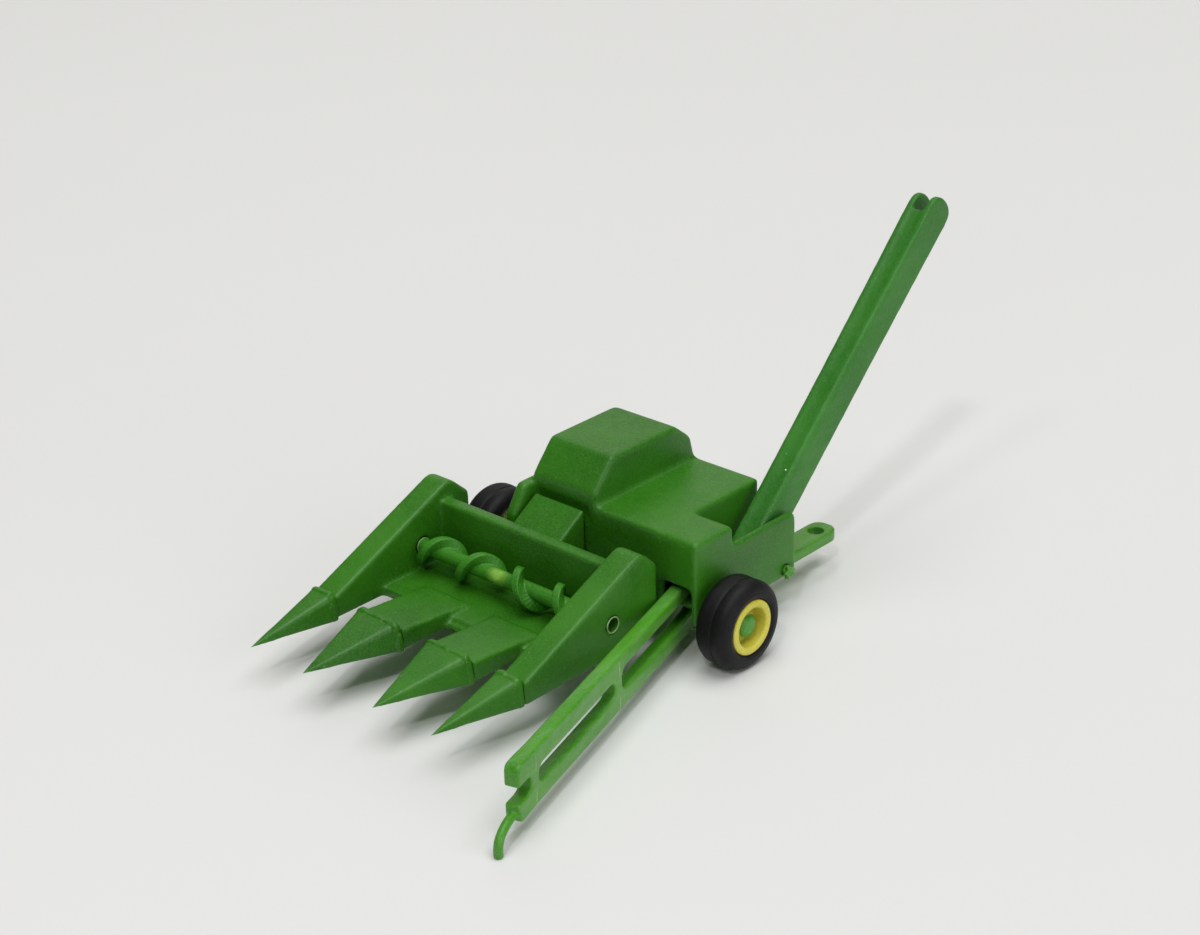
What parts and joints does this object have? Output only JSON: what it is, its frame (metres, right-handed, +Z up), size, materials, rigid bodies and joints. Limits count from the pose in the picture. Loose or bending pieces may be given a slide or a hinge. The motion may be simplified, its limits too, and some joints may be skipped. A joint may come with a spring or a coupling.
{
  "type": "toy corn picker",
  "caption": "Small-scale moulded pull-type corn picker with row snouts, cross auger, swinging tongue, folding discharge elevator and free-rolling wheels.",
  "frame": {"origin": "middle of the bottom of the whole model's box, on the ground", "axes": "+X towards the tongue side, +Y towards the rear, +Z up; the snouts point to -Y"},
  "size_m": [0.0582, 0.1116, 0.0527],
  "materials": {
    "housing_green": "moulded satin",
    "frame_green": "moulded satin",
    "elevator_green": "moulded satin",
    "rim_yellow": "moulded satin",
    "tyre_black": "moulded rubber"
  },
  "bodies": {
    "chassis": {"body_shell": "housing_green", "chassis_plate": "frame_green", "chassis_screw_1": "frame_green", "chassis_screw_2": "frame_green", "chassis_screw_3": "frame_green", "chassis_screw_4": "frame_green", "axle": "frame_green", "cross_pin": "frame_green", "elevator_pin": "frame_green", "tongue_screw": "frame_green"},
    "near_wheel": {"near_rim": "rim_yellow", "near_tyre": "tyre_black"},
    "far_wheel": {"far_rim": "rim_yellow", "far_tyre": "tyre_black"},
    "elevator": {"elevator_channel": "elevator_green"},
    "header": {"header_shell": "housing_green", "snout_1": "housing_green", "snout_2": "housing_green", "snout_3": "housing_green", "snout_4": "housing_green", "feeder_house": "housing_green", "feeder_pin": "frame_green"},
    "auger": {"auger": "housing_green"},
    "tongue": {"tongue_frame": "frame_green"}
  },
  "joints": [
    {"name": "near_wheel_turn", "type": "hinge", "parent": "chassis", "child": "near_wheel", "pos_m": [0.02063, 0.00002, 0.0065], "axis": [1, 0, 0], "continuous": true},
    {"name": "far_wheel_turn", "type": "hinge", "parent": "chassis", "child": "far_wheel", "pos_m": [-0.02527, 0.00002, 0.0065], "axis": [1, 0, 0], "continuous": true},
    {"name": "elevator_fold", "type": "hinge", "parent": "chassis", "child": "elevator", "pos_m": [0.01323, 0.01022, 0.009], "axis": [1, 0, 0], "range_deg": [-18, 44]},
    {"name": "header_lift", "type": "hinge", "parent": "chassis", "child": "header", "pos_m": [-0.00807, -0.00568, 0.015], "axis": [1, 0, 0], "range_deg": [-10, 0]},
    {"name": "auger_turn", "type": "hinge", "parent": "header", "child": "auger", "pos_m": [-0.00807, -0.01658, 0.0102], "axis": [1, 0, 0], "continuous": true},
    {"name": "tongue_swing", "type": "hinge", "parent": "chassis", "child": "tongue", "pos_m": [0.01085, 0.00232, 0.006], "axis": [0, 0, 1], "range_deg": [0, 12]}
  ]
}
